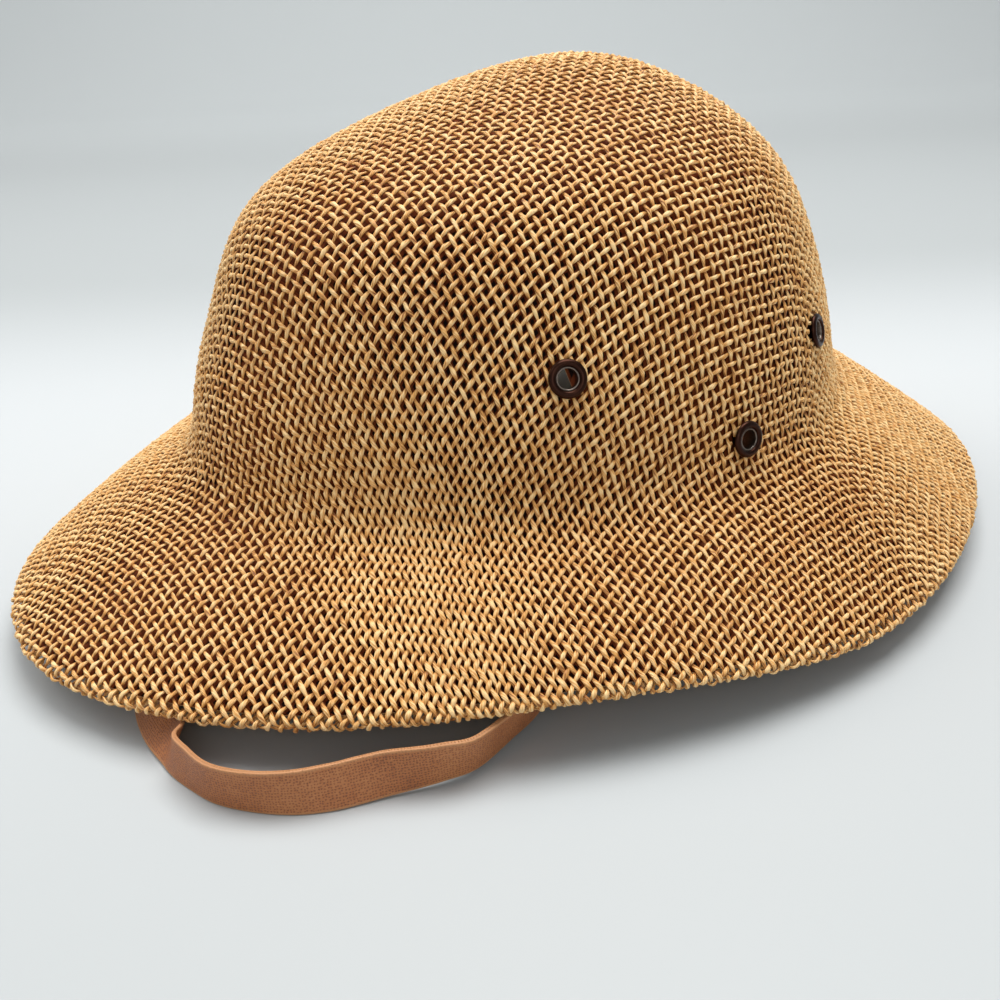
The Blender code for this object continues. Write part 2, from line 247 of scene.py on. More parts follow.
def layFrontThread(towards, key):  # a middle thread, stepped along the form by whole cells
    middle = np.array(weave["middle"])
    fine = np.linspace(0.0, planMap["reach"] + np.hypot(*middle), netSolve["fineSteps"])
    spots = middle + fine[:, None] * np.array(towards)
    points = readMap("points", spots)
    cells = np.linalg.norm(np.diff(points, axis=0), axis=1) / cellSide(key, spots[1:])
    count = np.concatenate([[0.0], np.cumsum(cells)])
    place = np.interp(np.arange(int(count[-1]) + 1), count, fine)
    return middle + place[:, None] * np.array(towards)


def layNet():  # a woven cloth pressed over the form: every mesh cell keeps its side lengths
    reach = weave["cells"]
    net = np.full((2 * reach + 1, 2 * reach + 1, 2), np.nan)
    turn = weave["turned"] * degree
    for stepI, stepJ in ((1, 0), (-1, 0), (0, 1), (0, -1)):
        towards = (stepI * math.cos(turn) - stepJ * math.sin(turn),
                   stepI * math.sin(turn) + stepJ * math.cos(turn))
        key = "drawnAcross" if stepI else "drawnAlong"
        for k, spot in enumerate(layFrontThread(towards, key)[:reach]):
            net[reach + stepI * k, reach + stepJ * k] = spot
    for signI in (1, -1):
        for signJ in (1, -1):
            for total in range(2, 2 * reach):
                i = np.arange(max(1, total - reach + 1), min(total, reach))
                j = total - i
                at = (reach + signI * i, reach + signJ * j)
                sideA = net[at[0] - signI, at[1]]
                sideB = net[at[0], at[1] - signJ]
                corner = net[at[0] - signI, at[1] - signJ]
                spots = sideA + sideB - corner
                good = np.isfinite(spots).all(-1) & (np.abs(spots).max(-1) < planMap["reach"])
                if not good.any():
                    continue
                at = (at[0][good], at[1][good])
                spots = spots[good]
                pointA, pointB = (readMap("points", side[good]) for side in (sideA, sideB))
                longA, longB = (cellSide(key, spots) for key in ("drawnAcross", "drawnAlong"))
                for _ in range(netSolve["rounds"]):
                    here, byU, byV = (readMap(table, spots) for table in ("points", "byU", "byV"))
                    toA, toB = here - pointA, here - pointB
                    missA = (toA ** 2).sum(-1) - longA ** 2
                    missB = (toB ** 2).sum(-1) - longB ** 2
                    a, b = 2 * (toA * byU).sum(-1), 2 * (toA * byV).sum(-1)
                    c, d = 2 * (toB * byU).sum(-1), 2 * (toB * byV).sum(-1)
                    det = a * d - b * c
                    det = np.where(np.abs(det) < 1e-12, 1e-12, det)
                    step = np.stack([(d * missA - b * missB) / det, (a * missB - c * missA) / det], -1)
                    size = np.linalg.norm(step, axis=-1, keepdims=True)
                    spots = spots - step * np.minimum(1.0, netSolve["longestStep"] / np.maximum(size, 1e-9))
                miss = np.abs(np.linalg.norm(readMap("points", spots) - pointA, axis=-1) / longA - 1)
                outside = np.abs(spots).max(-1) > planMap["reach"] - netSolve["longestStep"]
                spots[(miss > netSolve["mostMiss"]) | outside] = np.nan
                net[at] = spots
    return net, reach


net, netReach = layNet()
print("pith helmet: net laid,", int(np.isfinite(net[..., 0]).sum()), "crossings")


def overHem(spots, depth):  # a place on the cloth, turned under where the cloth passes the rim
    run = np.hypot(spots[..., 0], spots[..., 1])
    onRim = np.minimum(run, 1.0)
    flat = spots * (onRim / np.maximum(run, 1e-9))[:, None]
    edge, normal = readMap("points", flat), unit(readMap("normals", flat))
    inside = flat * (1.0 - planMap["rimStep"])
    outward = edge - readMap("points", inside)
    perRun = np.linalg.norm(outward, axis=-1) / (planMap["rimStep"] * np.maximum(onRim, 0.2))
    outward = unit(outward - normal * (outward * normal).sum(-1)[:, None])
    past = np.maximum(run - 1.0, 0.0) * perRun
    radius = helmetForm["hem"] / 2 - depth
    turn = np.minimum(past / radius, math.pi)[:, None]
    facing = normal * np.cos(turn) + outward * np.sin(turn)
    points = edge - normal * (depth + radius) + facing * radius
    back = np.maximum(past - radius * math.pi, 0.0)
    underRun = 1.0 - back / perRun
    under = flat * underRun[:, None]
    underNormal = unit(readMap("normals", under))
    underPoint = readMap("points", under) - underNormal * (depth + 2 * radius)
    tucked = back[:, None] > 0
    return np.where(tucked, underPoint, points), np.where(tucked, -underNormal, facing), past


eyeletPlaces = (  # name, degrees from the front, run, how far the flange stands over its seat
    ("front", 58.0, 0.57, 0.0004), ("low", 86.0, 0.68, 0.0009), ("back", 112.0, 0.60, 0.0004),
)


def eyeletFrames():
    frames = {}
    for side, sign in (("left", 1), ("right", -1)):
        for name, degrees, run, seat in eyeletPlaces:
            angle = degrees * sign * degree
            spot = run * np.array([[math.sin(angle), -math.cos(angle)]])
            out = Vector(readMap("normals", spot)[0]).normalized()
            level = Vector((-out.y, out.x, 0.0)).normalized()
            place = Matrix((level, out.cross(level), out)).transposed().to_4x4()
            place.translation = Vector(readMap("points", spot)[0])
            frames[f"eyelet_{side}_{name}"] = (place, seat, name == "low")
    return frames


eyelets = eyeletFrames()


def besideEyelets(points):  # which points fall into an eyelet's hole
    inHole = np.zeros(len(points), bool)
    for place, _, _ in eyelets.values():
        local = (points - np.array(place.translation)) @ np.array(place.to_3x3())
        away, height = np.hypot(local[:, 0], local[:, 1]), np.abs(local[:, 2])
        inHole |= (away < weave["hole"]) & (height < weave["holeDepth"])
    return inHole


def threadLines(alongI):  # every thread of one direction: its number, first cell and row of spots
    lines = []
    for row in range(net.shape[1 if alongI else 0]):
        spots = net[:, row] if alongI else net[row, :]
        good = np.isfinite(spots[:, 0])
        if not good[netReach] or good.sum() < weave["fewestCells"]:
            continue
        low = netReach - int(np.argmin(good[:netReach + 1][::-1])) + 1
        high = netReach + int(np.argmin(good[netReach:])) - 1
        if high - low < weave["fewestCells"] - 2:
            continue
        lines.append((row - netReach, low - netReach, spots[low:high + 1]))
    return lines


def threadPoints(row, first, spots, family, rng):
    steps, waves, places = [], [], []
    for k in range(len(spots) - 1):
        near = max(np.hypot(*spots[k]), np.hypot(*spots[k + 1])) > weave["fineFrom"]
        for part in ((0.0, 0.25, 0.5, 0.75) if near else (0.0, 0.5)):
            steps.append(spots[k] * (1 - part) + spots[k + 1] * part)
            places.append(first + k + part)
            side = 1 if (first + k + row + family) % 2 == 0 else -1
            waves.append(side * math.cos(math.pi * part))
    points, facing, past = overHem(np.array(steps), weave["thickness"])
    points[:, 2] = np.maximum(points[:, 2], weave["restLift"])
    keep = past < weave["turnUnder"] * (1 + weave["turnUneven"] * rng.standard_normal())
    return points, facing, np.array(waves), np.array(places), keep


def threadMesh(name, lines, family):
    rng = np.random.default_rng(weave["seed"] + family)
    verts, edges, facing, waves, places, numbers = [], [], [], [], [], []
    for row, first, spots in lines:
        points, out, wave, place, keep = threadPoints(row, first, spots, family, rng)
        keep &= ~besideEyelets(points)
        start = len(verts)
        verts.extend(points)
        facing.extend(out)
        waves.extend(wave)
        places.extend(place)
        numbers.extend([row + 500 * family] * len(points))
        edges.extend(
            (start + k, start + k + 1) for k in range(len(points) - 1) if keep[k] and keep[k + 1])
    used = np.unique(np.array(edges))
    renumber = np.full(len(verts), -1)
    renumber[used] = np.arange(len(used))
    mesh = bpy.data.meshes.new(name)
    mesh.from_pydata(np.array(verts)[used].tolist(), renumber[np.array(edges)].tolist(), [])
    for label, kind, field, values in (
            ("facing", "FLOAT_VECTOR", "vector", facing), ("wave", "FLOAT", "value", waves),
            ("alongThread", "FLOAT", "value", places), ("threadNumber", "INT", "value", numbers)):
        layer = mesh.attributes.new(label, kind, "POINT")
        kindOf = np.int32 if kind == "INT" else np.float32
        layer.data.foreach_set(field, np.array(values)[used].astype(kindOf).ravel())
    return linked(name, mesh)


def fillInputs(tree, node, inputs):
    for key, value in inputs.items():
        if hasattr(value, "is_linked"):
            tree.links.new(value, node.inputs[key])
        else:
            node.inputs[key].default_value = value


def nodeOf(tree, kind, inputs=None, **settings):
    node = tree.nodes.new(kind)
    for key, value in settings.items():
        setattr(node, key, value)
    fillInputs(tree, node, inputs or {})
    return node


def mathNode(tree, operation, *values):
    return nodeOf(tree, "ShaderNodeMath", dict(enumerate(values)), operation=operation).outputs[0]


def vectorNode(tree, operation, first, second):
    other = "Scale" if operation == "SCALE" else 1
    return nodeOf(tree, "ShaderNodeVectorMath", {0: first, other: second}, operation=operation).outputs[0]


def newGroup(name, kind, inputs, output):  # a node group with its sockets, ready to be filled
    tree = bpy.data.node_groups.new(name, kind + "NodeTree")
    for way, sockets in (("INPUT", inputs), ("OUTPUT", (output,))):
        for label, socket, value in sockets:
            made = tree.interface.new_socket(name=label, in_out=way, socket_type="NodeSocket" + socket)
            if value is not None:
                made.default_value = value
    return tree, tree.nodes.new("NodeGroupInput"), tree.nodes.new("NodeGroupOutput")


def named(tree, label, kind):
    return nodeOf(
        tree, "GeometryNodeInputNamedAttribute", {"Name": label}, data_type=kind).outputs["Attribute"]


def storeOn(tree, geometry, label, kind, domain, value):
    return nodeOf(tree, "GeometryNodeStoreNamedAttribute", {
        "Name": label, "Geometry": geometry, "Value": value},
        data_type=kind, domain=domain).outputs["Geometry"]


threadInputs = (  # label, kind and first value of every input of the thread tree
    ("Geometry", "Geometry", None), ("Width", "Float", 0.0015), ("Thickness", "Float", 0.0007),
    ("Wave Height", "Float", 0.00035), ("Leaf", "Float", 0.2), ("Wander", "Float", 0.0002),
    ("Uneven Width", "Float", 0.4), ("Sides", "Int", 5), ("Seed", "Int", 0), ("Finish", "Material", None),
)

threadNoise = {"wanderScale": 210.0, "swellScale": 330.0, "thinnest": 0.3}


def paperThreadTree(noise):  # a flat twisted paper strip swept along every thread line
    tree, given, result = newGroup("paperThread", "Geometry", threadInputs, ("Geometry", "Geometry", None))
    number, wave = named(tree, "threadNumber", "INT"), named(tree, "wave", "FLOAT")
    facing = named(tree, "facing", "FLOAT_VECTOR")
    lines = nodeOf(tree, "GeometryNodeMeshToCurve", {"Mesh": given.outputs["Geometry"]})
    lift = vectorNode(
        tree, "SCALE", facing, mathNode(tree, "MULTIPLY", wave, given.outputs["Wave Height"]))
    wander = nodeOf(tree, "ShaderNodeTexNoise", {
        "W": number, "Scale": noise["wanderScale"], "Detail": 2.0}, noise_dimensions="4D")
    centred = vectorNode(tree, "SUBTRACT", wander.outputs["Color"], (0.5, 0.5, 0.5))
    drift = vectorNode(tree, "SCALE", centred, mathNode(tree, "MULTIPLY", given.outputs["Wander"], 3.0))
    moved = nodeOf(tree, "GeometryNodeSetPosition", {
        "Geometry": lines.outputs["Curve"], "Offset": vectorNode(tree, "ADD", lift, drift)})
    upright = nodeOf(tree, "GeometryNodeSetCurveNormal", {
        "Curve": moved.outputs["Geometry"], "Normal": facing}, mode="FREE")
    tone = nodeOf(tree, "FunctionNodeRandomValue", {
        "ID": number, "Seed": given.outputs["Seed"]}, data_type="FLOAT")
    toned = storeOn(tree, upright.outputs["Curve"], "tone", "FLOAT", "POINT", tone.outputs[1])

    ring = nodeOf(tree, "GeometryNodeCurvePrimitiveCircle", {
        "Resolution": given.outputs["Sides"], "Radius": 0.5})
    shape = nodeOf(tree, "ShaderNodeCombineXYZ", {
        "X": given.outputs["Thickness"], "Y": given.outputs["Width"], "Z": 1.0})
    flat = nodeOf(tree, "GeometryNodeTransform", {
        "Geometry": ring.outputs["Curve"], "Rotation": (0.0, 0.0, math.pi), "Scale": shape.outputs[0]})
    around = nodeOf(tree, "GeometryNodeSplineParameter").outputs["Factor"]
    profile = storeOn(tree, flat.outputs["Geometry"], "roundThread", "FLOAT", "POINT", around)
    swell = nodeOf(tree, "ShaderNodeTexNoise", {  # thick and thin places along a thread
        "W": mathNode(tree, "ADD", number, 7.3), "Scale": noise["swellScale"], "Detail": 1.0},
        noise_dimensions="4D")
    uneven = mathNode(tree, "MULTIPLY", mathNode(tree, "SUBTRACT", swell.outputs["Fac"], 0.5),
                      mathNode(tree, "MULTIPLY", given.outputs["Uneven Width"], 2.0))
    leaf = mathNode(tree, "MULTIPLY_ADD", wave, given.outputs["Leaf"], 1.0)
    width = mathNode(tree, "MAXIMUM", mathNode(tree, "ADD", leaf, uneven), noise["thinnest"])
    sweep = nodeOf(tree, "GeometryNodeCurveToMesh", {
        "Curve": toned, "Profile Curve": profile, "Scale": width, "Fill Caps": True})

    chart = nodeOf(tree, "ShaderNodeCombineXYZ", {
        "X": named(tree, "alongThread", "FLOAT"), "Y": named(tree, "roundThread", "FLOAT")})
    charted = storeOn(tree, sweep.outputs["Mesh"], "UVMap", "FLOAT2", "CORNER", chart.outputs[0])
    smooth = nodeOf(tree, "GeometryNodeSetShadeSmooth", {"Geometry": charted})
    real = nodeOf(tree, "GeometryNodeRealizeInstances", {"Geometry": smooth.outputs["Geometry"]})
    finish = nodeOf(tree, "GeometryNodeSetMaterial", {
        "Geometry": real.outputs["Geometry"], "Material": given.outputs["Finish"]})
    tree.links.new(finish.outputs["Geometry"], result.inputs["Geometry"])
    return tree


def setInputs(modifier, values):
    for item in modifier.node_group.interface.items_tree:
        if item.item_type == "SOCKET" and item.in_out == "INPUT" and item.name in values:
            modifier[item.identifier] = values[item.name]


def asPlainMesh(holder, name):
    shown = bpy.context.evaluated_depsgraph_get()
    mesh = bpy.data.meshes.new_from_object(
        holder.evaluated_get(shown), preserve_all_data_layers=True, depsgraph=shown)
    mesh.name = name
    holder.modifiers.clear()
    old = holder.data
    holder.data = mesh
    bpy.data.meshes.remove(old)
    return holder


def rampOf(tree, factor, stops):
    node = nodeOf(tree, "ShaderNodeValToRGB", {"Fac": factor})
    ramp = node.color_ramp
    while len(ramp.elements) < len(stops):
        ramp.elements.new(0.5)
    for element, (place, colour) in zip(ramp.elements, stops):
        element.position = place
        element.color = (*colour, 1.0)
    return node.outputs["Color"]


def mixColours(tree, amount, first, second):
    node = tree.nodes.new("ShaderNodeMix")
    node.data_type = "RGBA"
    opaque = [(*value, 1.0) if isinstance(value, tuple) else value for value in (first, second)]
    fillInputs(tree, node, {0: amount, 6: opaque[0], 7: opaque[1]})
    return node.outputs[2]


def patchGroup():  # slow change of tone over the whole hat, shared by paper and leatherette
    tree, given, result = newGroup("agePatches", "Shader", (
        ("Position", "Vector", None), ("Size", "Float", 20.0), ("Contrast", "Float", 1.0)),
        ("Patches", "Float", None))
    noise = nodeOf(tree, "ShaderNodeTexNoise", {
        "Vector": given.outputs["Position"], "Scale": given.outputs["Size"], "Detail": 3.0})
    centred = mathNode(tree, "SUBTRACT", noise.outputs["Fac"], 0.5)
    scaled = mathNode(tree, "MULTIPLY_ADD", centred, given.outputs["Contrast"], 0.5)
    scaled.node.use_clamp = True
    tree.links.new(scaled, result.inputs["Patches"])
    return tree


def fibreGroup():  # fine twist lines along a paper thread
    tree, given, result = newGroup("paperFibres", "Shader", (
        ("Chart", "Vector", None), ("Twist", "Float", 1.0)), ("Fibres", "Float", None))
    split = nodeOf(tree, "ShaderNodeSeparateXYZ", {"Vector": given.outputs["Chart"]})
    slant = mathNode(tree, "MULTIPLY_ADD", split.outputs["X"], given.outputs["Twist"], split.outputs["Y"])
    across = mathNode(tree, "MULTIPLY", slant, 6.5)
    along = mathNode(tree, "MULTIPLY", split.outputs["X"], 0.7)
    chart = nodeOf(tree, "ShaderNodeCombineXYZ", {"X": along, "Y": across})
    noise = nodeOf(tree, "ShaderNodeTexNoise", {"Vector": chart.outputs[0], "Scale": 1.0, "Detail": 3.0})
    tree.links.new(noise.outputs["Fac"], result.inputs["Fibres"])
    return tree


patches, fibres = patchGroup(), fibreGroup()


def newFinish(name):
    made = bpy.data.materials.new(name)
    made.use_nodes = True
    tree = made.node_tree
    return made, tree, tree.nodes["Principled BSDF"]


def noiseOn(tree, place, scale, detail):
    return nodeOf(tree, "ShaderNodeTexNoise", {
        "Vector": place, "Scale": scale, "Detail": detail}).outputs["Fac"]


def objectPlace(tree):
    return nodeOf(tree, "ShaderNodeTexCoord").outputs["Object"]


def uvChart(tree):
    return nodeOf(tree, "ShaderNodeUVMap", uv_map="UVMap").outputs["UV"]


def readAttribute(tree, label):
    return nodeOf(tree, "ShaderNodeAttribute", attribute_name=label).outputs["Fac"]


def shiftBy(tree, lift, mask, amount):  # a mask about one half moves the tone up and down
    return mathNode(tree, "MULTIPLY_ADD", mathNode(tree, "SUBTRACT", mask, 0.5), amount, lift)


def addBump(tree, shader, height, strength, distance):
    bump = nodeOf(tree, "ShaderNodeBump", {"Height": height, "Strength": strength, "Distance": distance})
    tree.links.new(bump.outputs["Normal"], shader.inputs["Normal"])


def placeGroup(tree, group, output, inputs):
    return nodeOf(tree, "ShaderNodeGroup", inputs, node_tree=group).outputs[output]


paperLook = {  # linear colours of the outer ply; deep and pale also carry the painted shade where a thread dives and the painted highlight where it crests
    "deep": (0.20, 0.050, 0.009), "tan": (0.77, 0.384, 0.102), "pale": (1.0, 0.71, 0.345),
    "stain": (0.52, 0.220, 0.050), "roughness": 0.46, "gloss": 0.38, "twist": 0.35, "bump": 0.9,
    "middleTone": 0.41, "crestHighlightDiveShade": 0.29, "threadTone": 0.22, "mottleTone": 0.9, "fibreTone": 2.0,
    "stainShare": 0.30,
}


def outerPaper(look):
    made, tree, shader = newFinish("outerPaper")
    place = objectPlace(tree)
    chart = uvChart(tree)
    tone = readAttribute(tree, "tone")
    wave = readAttribute(tree, "wave")
    strands = placeGroup(tree, fibres, "Fibres", {"Chart": chart, "Twist": look["twist"]})
    age = placeGroup(tree, patches, "Patches", {"Position": place, "Size": 16.0, "Contrast": 2.2})
    mottle = noiseOn(tree, place, 420.0, 1.0)
    # painted highlight where a thread crests over its neighbour, painted shade where it dives under
    lift = mathNode(tree, "MULTIPLY_ADD", wave, look["crestHighlightDiveShade"], look["middleTone"])
    lift = mathNode(tree, "MULTIPLY_ADD", tone, look["threadTone"], lift)
    lift = shiftBy(tree, lift, mottle, look["mottleTone"])
    lift = shiftBy(tree, lift, strands, look["fibreTone"])
    colour = rampOf(tree, lift, ((0.12, look["deep"]), (0.52, look["tan"]), (0.92, look["pale"])))
    stained = mixColours(tree, mathNode(tree, "MULTIPLY", age, look["stainShare"]), colour, look["stain"])
    tree.links.new(stained, shader.inputs["Base Color"])
    shader.inputs["Specular IOR Level"].default_value = look["gloss"]
    rough = mathNode(tree, "MULTIPLY_ADD", strands, 0.24, look["roughness"] - 0.12)
    tree.links.new(rough, shader.inputs["Roughness"])
    addBump(tree, shader, strands, look["bump"], 0.0005)
    return made


innerLook = {  # linear colours of the inner ply: its outward face is painted shade, darkest in the gaps, where it is seen through the outer one; on both faces the gaps are painted shade and the raised threads a paler painted highlight
    "gap": (0.008, 0.0020, 0.0009), "dark": (0.062, 0.0105, 0.003), "lit": (0.175, 0.038, 0.009),
    "insideGapShade": (0.07, 0.032, 0.014), "insideTan": (0.50, 0.30, 0.125),
    "insidePale": (0.72, 0.50, 0.27), "roughness": 0.62, "drift": 0.35, "ageTone": 0.25, "grainTone": 0.35,
}


def weaveGroup():  # plain weave read from thread counts: height of the threads, none in the gaps
    tree, given, result = newGroup("plainWeave", "Shader", (
        ("Threads", "Vector", None), ("Fill", "Float", 0.6)), ("Height", "Float", None))
    split = nodeOf(tree, "ShaderNodeSeparateXYZ", {"Vector": given.outputs["Threads"]})
    heights = []
    for across, along, shift in (("X", "Y", 0.0), ("Y", "X", 1.0)):
        cell = mathNode(tree, "ROUND", split.outputs[across])
        off = mathNode(tree, "ABSOLUTE", mathNode(tree, "SUBTRACT", split.outputs[across], cell))
        share = mathNode(tree, "DIVIDE", mathNode(tree, "MULTIPLY", off, 2.0), given.outputs["Fill"])
        body = mathNode(tree, "SQRT", mathNode(
            tree, "MAXIMUM", mathNode(tree, "SUBTRACT", 1.0, mathNode(tree, "POWER", share, 2.0)), 0.0))
        phase = mathNode(tree, "ADD", mathNode(tree, "ADD", split.outputs[along], cell), shift)
        wave = mathNode(tree, "COSINE", mathNode(tree, "MULTIPLY", phase, math.pi))
        rise = mathNode(tree, "MULTIPLY_ADD", wave, 0.25, 0.5)
        shown = mathNode(tree, "GREATER_THAN", body, 0.001)
        heights.append(mathNode(tree, "MULTIPLY", mathNode(
            tree, "MULTIPLY_ADD", body, 0.25, rise), shown))
    tree.links.new(mathNode(tree, "MAXIMUM", *heights), result.inputs["Height"])
    return tree


plainWeave = weaveGroup()


def innerPaper(name, low, middle, high, fill, strength, gloss):
    made, tree, shader = newFinish(name)
    place = objectPlace(tree)
    chart = uvChart(tree)
    drift = nodeOf(tree, "ShaderNodeTexNoise", {"Vector": place, "Scale": 160.0}).outputs["Color"]
    centred = vectorNode(tree, "SUBTRACT", drift, (0.5, 0.5, 0.5))
    moved = vectorNode(tree, "ADD", chart, vectorNode(tree, "SCALE", centred, innerLook["drift"]))
    height = placeGroup(tree, plainWeave, "Height", {"Threads": moved, "Fill": fill})
    age = placeGroup(tree, patches, "Patches", {"Position": place, "Size": 24.0, "Contrast": 1.6})
    grain = noiseOn(tree, place, 700.0, 2.0)
    lift = shiftBy(tree, height, age, innerLook["ageTone"])
    lift = shiftBy(tree, lift, grain, innerLook["grainTone"])
    # colour by weave height: painted shade in the gaps and a paler painted highlight on the raised threads
    colour = rampOf(tree, lift, ((0.05, low), (0.45, middle), (0.95, high)))
    tree.links.new(colour, shader.inputs["Base Color"])
    shader.inputs["Roughness"].default_value = innerLook["roughness"]
    shader.inputs["Specular IOR Level"].default_value = gloss
    addBump(tree, shader, height, strength, 0.0007)
    return made


threadFinish = outerPaper(paperLook)
# outward face: a dark sheet of painted shade, where the inner ply lies in the outer ply's shade
throughFinish = innerPaper(
    "innerPaperOutsidePaintedShade", innerLook["gap"], innerLook["dark"], innerLook["lit"], 0.62, 0.6, 0.06)
insideFinish = innerPaper(
    "innerPaperInside", innerLook["insideGapShade"], innerLook["insideTan"], innerLook["insidePale"],
    0.66, 0.8, 0.4)


def weaveOuterPly():
    tree = paperThreadTree(threadNoise)
    made = []
    for family, (alongI, names) in enumerate((
            (True, ("threads_across_front", "threads_across_middle", "threads_across_back")),
            (False, ("threads_along_right", "threads_along_middle", "threads_along_left")))):
        lines = threadLines(alongI)
        counts = np.cumsum([len(spots) for _, _, spots in lines])
        bands = np.searchsorted(counts, counts[-1] * np.arange(1, len(names)) / len(names))
        for name, part in zip(names, np.split(np.arange(len(lines)), bands)):
            holder = threadMesh(name, [lines[k] for k in part], family)
            modifier = holder.modifiers.new("paperThread", "NODES")
            modifier.node_group = tree
            setInputs(modifier, {
                "Width": weave["width"], "Thickness": weave["thickness"], "Leaf": weave["leaf"],
                "Wave Height": weave["waveHeight"], "Wander": weave["wander"],
                "Uneven Width": weave["unevenWidth"], "Sides": weave["sides"], "Seed": weave["seed"],
                "Finish": threadFinish})
            made.append(asPlainMesh(holder, name))
            triangles = sum(len(face.vertices) - 2 for face in holder.data.polygons)
            print("pith helmet:", name, triangles, "triangles")
    return made


outerPly = weaveOuterPly()

innerPly = {  # metres, and places along the run
    "depthCrown": 0.00185, "depthRim": 0.00145, "thickness": 0.0005, "edgeRun": 0.990,
    "shallowFrom": 0.93, "shallowOver": 0.06, "holeNear": 0.0036, "hole": 0.0034, "holeDepth": 0.008,
}


def layInnerPly(sizes):
    run = np.hypot(net[..., 0], net[..., 1])
    good = np.isfinite(run)
    index = np.full(net.shape[:2], -1)
    index[good] = np.arange(good.sum())
    spots = net[good]
    runs = run[good]
    clamped = runs > sizes["edgeRun"]
    spots = spots * np.where(clamped, sizes["edgeRun"] / np.maximum(runs, 1e-9), 1.0)[:, None]
    normal = unit(readMap("normals", spots))
    towardsRim = np.clip((np.minimum(runs, 1.0) - sizes["shallowFrom"]) / sizes["shallowOver"], 0.0, 1.0)
    depth = sizes["depthCrown"] + (sizes["depthRim"] - sizes["depthCrown"]) * towardsRim
    points = readMap("points", spots) - normal * depth[:, None]
    closed = np.zeros(len(points), bool)
    for place, _, _ in eyelets.values():
        centre, axes = np.array(place.translation), np.array(place.to_3x3())
        local = (points - centre) @ axes
        away = np.hypot(local[:, 0], local[:, 1])
        near = (away < sizes["holeNear"]) & (np.abs(local[:, 2]) < sizes["holeDepth"])
        pushed = local.copy()
        pushed[:, :2] *= (sizes["hole"] / np.maximum(away, 1e-6))[:, None]
        points = np.where(near[:, None], pushed @ axes.T + centre, points)
        closed |= near
    quads, grid = [], index
    for i in range(grid.shape[0] - 1):
        for j in range(grid.shape[1] - 1):
            quad = (grid[i, j], grid[i + 1, j], grid[i + 1, j + 1], grid[i, j + 1])
            if min(quad) < 0 or all(clamped[k] for k in quad) or all(closed[k] for k in quad):
                continue
            quads.append(quad)
    counts = np.argwhere(good) - netReach
    mesh = bpy.data.meshes.new("inner_ply")
    mesh.from_pydata(points.tolist(), [], quads)
    chart = mesh.uv_layers.new(name="UVMap")
    corners = np.empty(len(mesh.loops), np.int32)
    mesh.loops.foreach_get("vertex_index", corners)
    chart.data.foreach_set("uv", counts[corners].astype(np.float32).ravel())
    made = linked("inner_ply", mesh)
    tidy = bmesh.new()
    tidy.from_mesh(mesh)
    bmesh.ops.delete(tidy, geom=[v for v in tidy.verts if not v.link_faces], context="VERTS")
    if sum(face.normal.z for face in tidy.faces) < 0:
        bmesh.ops.reverse_faces(tidy, faces=tidy.faces)
    tidy.to_mesh(mesh)
    tidy.free()
    mesh.materials.append(throughFinish)
    mesh.materials.append(insideFinish)
    wall = made.modifiers.new("wall", "SOLIDIFY")
    wall.thickness, wall.offset = sizes["thickness"], -1.0
    wall.material_offset, wall.material_offset_rim = 1, 1
    asPlainMesh(made, "inner_ply")
    made.data.shade_smooth()
    return made


innerCloth = layInnerPly(innerPly)
print("pith helmet: inner ply", len(innerCloth.data.polygons))


eyeletSize = {  # metres; the same ring as the solid, with rolled edges
    "bore": 0.0050, "barrel": 0.0057, "flange": 0.0098, "backFlange": 0.0086,
    "rise": 0.0011, "lip": 0.0005, "roll": 0.0006, "backGap": 0.0005, "sides": 48,
}

bronzeLook = {"dark": (0.018, 0.008, 0.006), "warm": (0.055, 0.022, 0.014), "worn": (0.36, 0.31, 0.26)}


def darkBronze(look):
    made, tree, shader = newFinish("darkBronze")
    place = objectPlace(tree)
    worn = readAttribute(tree, "worn")
    specks = noiseOn(tree, place, 1500.0, 3.0)
    cloud = noiseOn(tree, place, 380.0, 2.0)
    lacquer = mixColours(tree, cloud, look["dark"], look["warm"])
    edge = mathNode(tree, "MULTIPLY_ADD", mathNode(tree, "SUBTRACT", specks, 0.62), 0.5, worn)
    edge.node.use_clamp = True
    tree.links.new(mixColours(tree, edge, lacquer, look["worn"]), shader.inputs["Base Color"])
    shader.inputs["Metallic"].default_value = 1.0
    rough = mathNode(tree, "MULTIPLY_ADD", cloud, 0.16, 0.26)
    tree.links.new(rough, shader.inputs["Roughness"])
    addBump(tree, shader, specks, 0.05, 0.0001)
    return made


bronze = darkBronze(bronzeLook)


def eyeletSection(size, seat, grip):  # radius, height over the wall, how far the lacquer is worn
    bore, barrel = size["bore"] / 2, size["barrel"] / 2
    flange, back = size["flange"] / 2, size["backFlange"] / 2
    rise, roll, low = size["rise"], size["roll"], -grip - size["backGap"]
    inner = bore + size["lip"]
    rows = []
    for step in range(5):  # thin lip round the bore
        turn = math.pi * step / 4
        radius = bore + size["lip"] * (1 - math.cos(turn)) / 2
        rows.append((radius, seat + rise * (0.30 + 0.22 * math.sin(turn)), 0.55 if step < 4 else 0.0))
    for step in range(1, 11):  # thick roll from the lip to the outer edge
        turn = math.pi * step / 10
        swell = (1 - math.cos(turn)) / 2
        radius = inner + (flange - inner) * swell
        height = seat + rise * (0.30 - 0.20 * swell + 0.75 * math.sin(turn))
        rows.append((radius, height, 0.0))
    rows += [
        (flange - roll * 0.3, seat, 0.0), (barrel, seat, 0.0),
        (barrel, low, 0.0), (back - roll * 0.2, low, 0.0), (back, low - roll * 0.3, 0.3),
        (back - roll * 0.4, low - roll * 0.7, 0.35), ((bore + barrel) / 2, low - roll, 0.25),
        (bore, low - roll * 0.5, 0.6), (bore, (low + seat) / 2, 0.55),
    ]
    return rows


